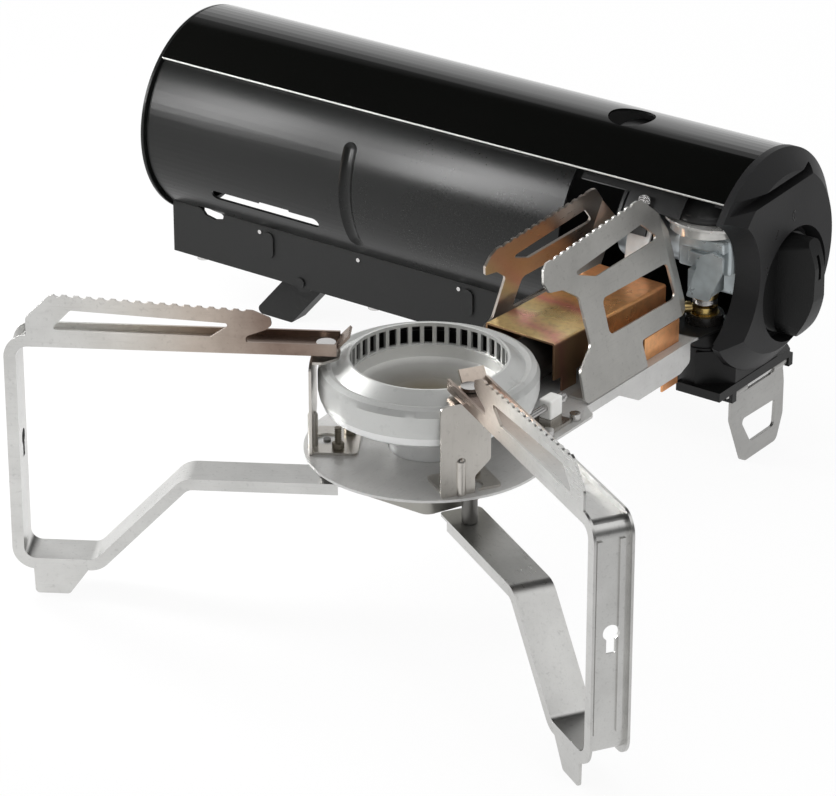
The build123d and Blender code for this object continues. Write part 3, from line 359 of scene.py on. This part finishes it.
def platedZinc(name, colour, rough, metal):       # zinc plating: bluish, cloudy and only half mirror-like
    f = Finish(name, Metallic=metal)
    where = f.place()
    cloud = f.noise(where, 90, 4, 0.6)
    patch = f.node("ShaderNodeTexVoronoi", inputs={"Vector": where, "Scale": 260})
    shade = f.blend(f.between(cloud + patch * 0.4, 0.4, 0.9), colour, times(colour, 0.72))
    roughness = f.between(cloud, 0.3, 0.7, rough * 0.8, rough * 1.2)
    f.done(shade, roughness, cloud, 0.12, 0.0003)


swivelZones = {
    "core": (0.62, 0.45, 0.17), "nearBlack": (0.012, 0.011, 0.01), "coreEnds": 0.005, "sootBegins": 0.0054,
    "blotch": 0.0006,
}


def pivotBrass(name):                             # brass in the middle, blackened towards its rim
    f = Finish(name, Metallic=1.0)
    cloud = f.noise(f.place(), 200, 3)
    away = f.fromLine(pivotLine)[0] + (cloud - 0.5) * swivelZones["blotch"]
    rim = f.between(away, swivelZones["coreEnds"], swivelZones["sootBegins"])
    f.set("Metallic", 1 - rim)
    shade = f.blend(rim, swivelZones["core"], swivelZones["nearBlack"])
    f.done(shade, f.between(cloud, 0.3, 0.7, 0.2, 0.34), cloud, 0.08, 0.0002)


def glazedCeramic(name):
    f = Finish(name, Coat_Weight=0.4, Coat_Roughness=0.15)
    cloud = f.noise(f.place(), 120, 3)
    shade = f.blend(cloud, (0.82, 0.82, 0.8), (0.72, 0.71, 0.68))
    f.done(shade, f.between(cloud, 0.3, 0.7, 0.3, 0.45), cloud, 0.05, 0.0003)


legs = {"tone": (0.7, 0.7, 0.685), "turn": 31.2, "out": 0.0384, "forward": 0.0232}


def legSteel(name, side, near, far):              # side is -1 for the left leg and 1 for the right one
    heat = (burner.x + side * legs["out"], burner.y - legs["forward"], near, far)
    turn = math.radians(-side * legs["turn"])
    brushedSteel(name, legs["tone"], 0.3, turn=turn, warm=0.02, heat=heat)


glossEnamel("coverGloss", (0.0016, 0.0017, 0.0015), 0.08, edge=coverEdge)
glossEnamel("domeGloss", (0.02, 0.02, 0.02), 0.3)
satinPaint("shellSatin", (0.004, 0.0042, 0.004), 0.29, index=1.36)
satinPaint("railPaint", (0.008, 0.0082, 0.008), 0.5, grain=700, depth=0.2, index=1.34)
satinPaint("guidePaint", (0.004, 0.004, 0.004), 0.38)
satinPaint("darkSteel", (0.012, 0.011, 0.01), 0.32, grain=500, depth=0.2)
satinPaint("markBlack", (0.002, 0.002, 0.002), 0.25)
satinPaint("rubber", (0.01, 0.01, 0.01), 0.7)
mouldedPlastic("housingPlastic", (0.011, 0.011, 0.0115), 0.5)
mouldedPlastic("basePlastic", (0.0035, 0.0035, 0.0035), 0.42)
mouldedPlastic("knobPlastic", (0.006, 0.0062, 0.0062), 0.42, grain=2000)
brushedSteel("armSteel", (0.7, 0.7, 0.69), 0.38, along="Y", warm=0.03, black=0.015, metal=0.55)
legSteel("legSteelLeft", -1, near=0.008, far=0.085)
legSteel("legSteelRight", 1, near=0.004, far=0.06)
brushedSteel("trivetSteel", (0.64, 0.63, 0.6), 0.34, along="Y", metal=0.82)
brushedSteel("trivetWarm", (0.56, 0.53, 0.5), 0.3, along="Y", warm=0.3)
brushedSteel("bracketSteel", (0.66, 0.645, 0.61), 0.3, along="Z", warm=0.12)
brushedSteel("standSteel", (0.5, 0.495, 0.48), 0.36, along="Y")
brightPart("pinSteel", (0.66, 0.65, 0.64), 0.24)
brightPart("bowlSteel", (0.4, 0.39, 0.36), 0.34, scale=24)
brightPart("studSteel", (0.3, 0.27, 0.22), 0.35)
# painted shade: the lower leg pins are made dark
brightPart("paintedShadePinSteel", (0.2, 0.195, 0.185), 0.4)
brightPart("brass", (0.68, 0.5, 0.22), 0.26)
castAluminium("zincCast", (0.66, 0.7, 0.72), 0.34, grain=420, metal=0.8)
castAluminium("burnerCast", (0.9, 0.905, 0.9), 0.38, metal=0.45)
castAluminium("ringCast", (0.62, 0.625, 0.61), 0.38, metal=0.6, zones=ringZones)
platedZinc("zincBlue", (0.6, 0.66, 0.68), 0.3, metal=0.45)
platedZinc("zincRim", (0.8, 0.79, 0.76), 0.26, metal=0.5)
platedZinc("bandZinc", (0.95, 0.97, 0.97), 0.12, metal=0.2)
pivotBrass("pivotBrass")
copperTintAndPaintedLight("copper")
bowlMetal("bowl")
glazedCeramic("ceramic")
print("finishes made")


# what every piece needs
def clearSelection():
    bpy.ops.object.select_all(action="DESELECT")


def pick(piece):
    clearSelection()
    bpy.context.view_layer.objects.active = piece
    piece.select_set(True)


def editAll():
    bpy.ops.object.mode_set(mode="EDIT")
    bpy.ops.mesh.select_all(action="SELECT")


def leaveEdit():
    bpy.ops.object.mode_set(mode="OBJECT")


def smooth(degrees):
    bpy.ops.object.shade_smooth_by_angle(angle=math.radians(degrees))


def joined(parts, name):
    pick(parts[0])
    for part in parts:
        part.select_set(True)
    bpy.ops.object.join()
    parts[0].name = name
    return parts[0]


def bodyOf(node):
    bodies = frame["record"]["behaviour"]["bodies"]
    return next(body for body, members in bodies.items() if node in members)


def declare(piece, finish, node, replaced=True):
    piece.data.materials.clear()
    piece.data.materials.append(finishes[finish])
    if replaced:
        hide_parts(node)
    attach(piece, bodyOf(node))


def editCopy(node, name):                         # a node's shape in a piece of its own, merged, in edit mode
    piece = bpy.data.objects.new(name, frame["nodes"][node].data.copy())
    bpy.context.scene.collection.objects.link(piece)
    pick(piece)
    editAll()
    bpy.ops.mesh.remove_doubles(threshold=2e-6)
    return piece


# pieces that keep a node's shape and get rounded edges
rounding = {                                      # the bevel's width in mm and its segments
    "sheet": (0.16, 2), "small": (0.2, 2), "casting": (0.5, 2), "plastic": (0.7, 2), "dome": (2.6, 8),
}
edges = {"flatWithin": 0.6, "smoothBelow": 28, "bevelAbove": 32}    # angles between faces, in degrees


def roundedCopy(node, finish, edge):
    piece = editCopy(node, node + "_shape")
    bpy.ops.mesh.dissolve_limited(angle_limit=math.radians(edges["flatWithin"]))
    leaveEdit()
    smooth(edges["smoothBelow"])
    width, segments = rounding[edge]
    bevel = piece.modifiers.new("edges", "BEVEL")
    bevel.width = width * mm
    bevel.segments = segments
    bevel.limit_method = "ANGLE"
    bevel.angle_limit = math.radians(edges["bevelAbove"])
    bevel.miter_outer = "MITER_ARC"
    bpy.ops.object.modifier_apply(modifier="edges")
    flats = piece.modifiers.new("flats", "WEIGHTED_NORMAL")
    flats.mode = "FACE_AREA"
    flats.keep_sharp = True
    bpy.ops.object.modifier_apply(modifier="flats")
    declare(piece, finish, node)


softened = {
    "inner_shell": ("shellSatin", "sheet"),
    "left_cap": ("shellSatin", "casting"),
    "base_rail": ("railPaint", "sheet"),
    "case_foot": ("railPaint", "sheet"),
    "upper_shell": ("coverGloss", "sheet"),
    "end_housing": ("housingPlastic", "casting"),
    "housing_base": ("basePlastic", "casting"),
    "knob": ("knobPlastic", "plastic"),
    "stand_plate": ("standSteel", "sheet"),
    "guide_plate": ("guidePaint", "sheet"),
    "governor_plate": ("zincRim", "sheet"),
    "governor_dome": ("domeGloss", "dome"),
    "clamp_band": ("bandZinc", "sheet"),
    "arm_channel": ("armSteel", "sheet"),
    "trivet_front": ("trivetSteel", "sheet"),
    "trivet_rear": ("trivetWarm", "sheet"),
    "heat_panel": ("copper", "sheet"),
    "heat_tab": ("copper", "sheet"),
    "burner_ring": ("ringCast", "small"),
    "burner_body": ("burnerCast", "casting"),
    "leg_left": ("legSteelLeft", "sheet"),
    "leg_right": ("legSteelRight", "sheet"),
    "leg_bracket_left": ("bracketSteel", "sheet"),
    "leg_bracket_right": ("bracketSteel", "sheet"),
}
for node, (finish, edge) in softened.items():
    roundedCopy(node, finish, edge)
print("edges rounded")

# nodes that stay as they are, by finish
painted = {
    "pinSteel": ("rail_buttons", "base_screws", "stand_pin", "guide_screw", "magnets", "regulator_screws",
                 "arm_pivot_pin", "control_spindle", "trivet_rivets", "electrode", "igniter_screws",
                 "leg_top_pins"),
    "railPaint": ("foot_pin",),
    "guidePaint": ("socket_plate",),
    "zincCast": ("canister_socket",),
    "rubber": ("socket_seal",),
    "zincBlue": ("regulator_body",),
    "zincRim": ("regulator_bonnet",),
    "brass": ("outlet_stub", "injector", "gas_pipe"),
    "basePlastic": ("pivot_bush",),
    "darkSteel": ("mixing_tube", "air_shutter", "gas_elbow"),
    "pivotBrass": ("swivel",),
    "bowl": ("burner_bowl",),
    "bowlSteel": ("under_pan",),
    "ceramic": ("ceramic_block",),
    "bracketSteel": ("igniter_holder",),
    "standSteel": ("pin_washers",),
    "paintedShadePinSteel": ("leg_low_pins",),
}
for finish, nodes in painted.items():
    for node in nodes:
        for slot in frame["nodes"][node].material_slots:
            slot.material = finishes[finish]
print("nodes painted")


# pieces modelled afresh
def settle(piece, finish, node, replaced=True):
    pick(piece)
    editAll()
    bpy.ops.mesh.normals_make_consistent(inside=False)
    leaveEdit()
    smooth(35)
    declare(piece, finish, node, replaced)


def solidsOf(node):                               # the lowest and highest corner of each solid of a node
    editCopy(node, "solids")
    bpy.ops.mesh.separate(type="LOOSE")
    leaveEdit()
    boxes = []
    for part in list(bpy.context.selected_objects):
        columns = list(zip(*(vertex.co for vertex in part.data.vertices)))
        boxes.append((Vector(map(min, columns)), Vector(map(max, columns))))
        bpy.data.objects.remove(part)
    return sorted(boxes, key=lambda box: (round(box[0].x, 4), round(box[0].y, 4)))


stud = {                                          # mm
    "nutHeight": 2.0, "nutRadius": 2.1, "nutBevel": 0.15, "rodRadius": 1.2, "pitch": 0.7, "rootShare": 0.8,
    "sides": 20,
}


def threadedStud(low, high):
    # a bevelled hexagon nut on the plate, and a rod whose turned rings stand for its thread
    x, y = (low.x + high.x) / 2, (low.y + high.y) / 2
    height = stud["nutHeight"] * mm
    bpy.ops.mesh.primitive_cylinder_add(vertices=6, radius=stud["nutRadius"] * mm, depth=height)
    nut = bpy.context.object
    editAll()
    bpy.ops.mesh.bevel(offset=stud["nutBevel"] * mm, segments=2)
    leaveEdit()
    nut.data.transform(Matrix.Translation((x, y, low.z + height / 2)))
    root = stud["rodRadius"] * stud["rootShare"] * mm
    bpy.ops.mesh.primitive_circle_add(vertices=stud["sides"], radius=root, fill_type="NGON")
    rod = bpy.context.object
    editAll()
    step = stud["pitch"] / 2 * mm
    for i in range(int((high.z - low.z) / step)):
        bpy.ops.mesh.extrude_region_move(TRANSFORM_OT_translate={"value": (0, 0, step)})
        change = stud["rootShare"] if i % 2 else 1 / stud["rootShare"]
        bpy.ops.transform.resize(value=(change, change, 1))
    leaveEdit()
    rod.data.transform(Matrix.Translation((x, y, low.z)))
    return [nut, rod]


parts = [part for low, high in solidsOf("bracket_screws") for part in threadedStud(low, high)]
settle(joined(parts, "bracketStuds"), "studSteel", "bracket_screws")

coil = {"wire": 0.42, "turns": 3, "steps": 28, "sides": 10}    # the wire's radius in mm


def springCoil():
    low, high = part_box("swivel_spring")
    wire = coil["wire"] * mm
    radius = (high.x - low.x) / 2 - wire
    bpy.ops.mesh.primitive_circle_add(vertices=coil["sides"], radius=wire, location=(radius, 0, 0),
                                      rotation=(math.radians(90), 0, 0))
    spring = bpy.context.object
    bpy.ops.object.transform_apply(location=True, rotation=True, scale=True)
    sweep = spring.modifiers.new("sweep", "SCREW")
    sweep.screw_offset = (high.z - low.z - 2 * wire) / coil["turns"]
    sweep.iterations = coil["turns"]
    sweep.steps = sweep.render_steps = coil["steps"]
    sweep.use_merge_vertices = True
    bpy.ops.object.modifier_apply(modifier="sweep")
    editAll()
    bpy.ops.mesh.fill_holes(sides=0)
    leaveEdit()
    spring.data.transform(Matrix.Translation(((low.x + high.x) / 2, (low.y + high.y) / 2, low.z + wire)))
    spring.name = "springCoil"
    return spring


settle(springCoil(), "pinSteel", "swivel_spring")

dial = {                                          # mm; a place is y from the tube's axis and z
    "oval": (5.9, 92.7), "ovalRadius": 1.0, "ovalLine": 0.22, "ovalSquash": (0.5, 0.8, 1.7),
    "stroke": (-5.3, 89.0), "strokeRadius": 0.25, "strokeLength": 3.4, "strokeTilt": -28,
    "strokeSquash": (0.5, 1, 1),
    "dots": ((-11.4, 78.6), (-10.8, 76.4)), "dotRadius": 0.42, "dotSquash": (0.3, 1, 1),
}


def setMark(place, squash):                       # the newest mark, flattened and put on the housing's face
    mark = bpy.context.object
    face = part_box("end_housing")[1].x
    bpy.ops.object.transform_apply(location=True, rotation=True, scale=True)
    mark.data.transform(Matrix.Diagonal((*squash, 1)))
    mark.data.transform(Matrix.Translation((face, tube.y + place[0] * mm, place[1] * mm)))
    return mark


def dialMarks():
    # plain marks on the housing's face beside the knob: an oval, a slanting stroke and two dots
    bpy.ops.mesh.primitive_torus_add(major_radius=dial["ovalRadius"] * mm, minor_radius=dial["ovalLine"] * mm,
                                     major_segments=28, minor_segments=8, rotation=(0, math.radians(90), 0))
    marks = [setMark(dial["oval"], dial["ovalSquash"])]
    bpy.ops.mesh.primitive_cylinder_add(vertices=12, radius=dial["strokeRadius"] * mm,
                                        depth=dial["strokeLength"] * mm,
                                        rotation=(math.radians(dial["strokeTilt"]), 0, 0))
    marks.append(setMark(dial["stroke"], dial["strokeSquash"]))
    for place in dial["dots"]:
        bpy.ops.mesh.primitive_uv_sphere_add(segments=12, ring_count=8, radius=dial["dotRadius"] * mm)
        marks.append(setMark(place, dial["dotSquash"]))
    return joined(marks, "dialMarks")


settle(dialMarks(), "markBlack", "end_housing", replaced=False)
print("fresh pieces made")

# camera: its offset in metres is from the burner's axis and the ground
view = {
    "offset": (0.69887, -0.978, 0.64098), "down": 25.257, "turn": 35.717, "lens": 175.34, "sensor": 36,
    "reach": 20,
}
camera = bpy.data.objects.new("camera", bpy.data.cameras.new("camera"))
bpy.context.scene.collection.objects.link(camera)
camera.location = Vector((burner.x, burner.y, 0)) + Vector(view["offset"])
camera.rotation_euler = (math.radians(90 - view["down"]), 0, math.radians(view["turn"]))
camera.data.sensor_width = view["sensor"]
camera.data.lens = view["lens"]
camera.data.clip_end = view["reach"]
bpy.context.scene.camera = camera

# floor and room: what the camera sees of them is white, and what is mirrored has its own levels
white = (1, 1, 1, 1)
paper = {
    "size": 6, "white": 0.88, "fleck": 0.985, "grain": 40, "rough": 0.9, "glow": 0.92,
    "mirrored": 0.9, "right": 0.5, "rightFrom": -0.1, "rightTo": 0.45, "slant": 0.3,
}
walls = {
    "sky": 0.78, "back": 1.0, "backRight": 0.3, "cameraSide": 0.1, "overhead": 0.012, "overRight": 1.0,
    "backFacing": (0.8, 0.6), "backBlur": 0.35, "leftToRight": (-0.35, 0.5), "top": (0.42, 0.7),
    "rightOverhead": (0.1, 0.35),
}


def rayKinds(tree):                               # rays from the camera, and rays by way of gloss or glass
    rays = tree.node("ShaderNodeLightPath")
    return rays.beside("Is Camera Ray"), rays.beside("Is Glossy Ray") + rays.beside("Is Transmission Ray")


def studioFloor():
    # the camera sees white paper with the object's shadow on it; reflections see it dimmer towards the right
    clearSelection()
    bpy.ops.mesh.primitive_plane_add(size=paper["size"], location=(0, 0, 0))
    floor = bpy.context.object
    floor.name = "floor"
    f = Finish("floorPaper", Roughness=paper["rough"])
    where = f.place()
    x, y = f.axes(where)[:2]
    tone = (paper["white"],) * 3
    f.set("Base Color", f.blend(f.noise(where, paper["grain"], 3), tone, times(tone, paper["fleck"])))
    seen, mirrored = rayKinds(f)
    side = f.between(x + paper["slant"] * y, paper["rightFrom"], paper["rightTo"], 1.0, paper["right"])
    glow = f.node("ShaderNodeEmission", inputs=[white, 1.0])
    dim = f.node("ShaderNodeEmission", inputs=[white, side])
    shown = f.node("ShaderNodeMixShader", inputs=[seen * paper["glow"], f.shader, glow])
    surface = f.node("ShaderNodeMixShader", inputs=[mirrored * paper["mirrored"], shown, dim])
    f.node("ShaderNodeOutputMaterial", inputs=[surface])
    floor.data.materials.append(f.material)


def studioRoom():
    # in reflections: a white wall behind, dark overhead apart from the right, and dim on the camera's side
    world = bpy.data.worlds.new("studio")
    bpy.context.scene.world = world
    world.use_nodes = True
    t = Tree(world.node_tree)
    x, y, z = t.axes(t.node("ShaderNodeTexCoord"))
    seen, mirrored = rayKinds(t)
    facing = y * walls["backFacing"][0] - x * walls["backFacing"][1]
    behind = t.between(facing, -walls["backBlur"], walls["backBlur"])
    back = t.between(x, *walls["leftToRight"], walls["back"], walls["backRight"])
    wall = behind * back + (1 - behind) * walls["cameraSide"]
    above = t.between(z, *walls["top"])
    overhead = t.between(x, *walls["rightOverhead"]) * walls["overRight"] + walls["overhead"]
    level = wall * (1 - above) + above * overhead
    direct, sky, mirror = [t.node("ShaderNodeBackground", inputs=[white, strength])
                           for strength in (1.0, walls["sky"], level)]
    lit = t.node("ShaderNodeMixShader", inputs=[seen, sky, direct])
    t.node("ShaderNodeOutputWorld", inputs=[t.node("ShaderNodeMixShader", inputs=[mirrored, lit, mirror])])


def softbox(name, place, aim, size, power, mirrored=False):
    lamp = bpy.data.objects.new(name, bpy.data.lights.new(name, "AREA"))
    bpy.context.scene.collection.objects.link(lamp)
    lamp.data.shape = "RECTANGLE"
    lamp.data.size, lamp.data.size_y = size
    lamp.data.energy = power
    lamp.visible_glossy = mirrored
    lamp.location = place
    lamp.rotation_euler = (Vector(aim) - Vector(place)).to_track_quat("-Z", "Y").to_euler()


lamps = {                                         # place, size and power of the lamps that aim at the object
    "overhead": ((-0.2, 0.2, 1.3), (1.0, 0.7), 5.0),
    "leftFill": ((-1.3, -0.7, 0.7), (0.7, 0.9), 2.0),
    "rightFill": ((1.2, -0.2, 0.8), (0.5, 0.8), 1.6),
}
aimHeight = 0.05
strips = {                                        # two strips that the tube mirrors; along is from its end
    "along": {"leftStrip": 0.02, "rightStrip": 0.145}, "left": 0.116, "forward": 0.2, "height": 0.18,
    "aimHeight": 0.08, "size": (0.05, 0.12), "power": 0.4,
}
studioFloor()
studioRoom()
for name, (place, size, power) in lamps.items():
    softbox(name, place, (0, 0, aimHeight), size, power)
for name, along in strips["along"].items():
    x = tube.x + along
    softbox(name, (x - strips["left"], tube.y - strips["forward"], strips["height"]),
            (x, tube.y, strips["aimHeight"]), strips["size"], strips["power"], mirrored=True)
bpy.context.scene.view_settings.view_transform = "Standard"
print("studio set")
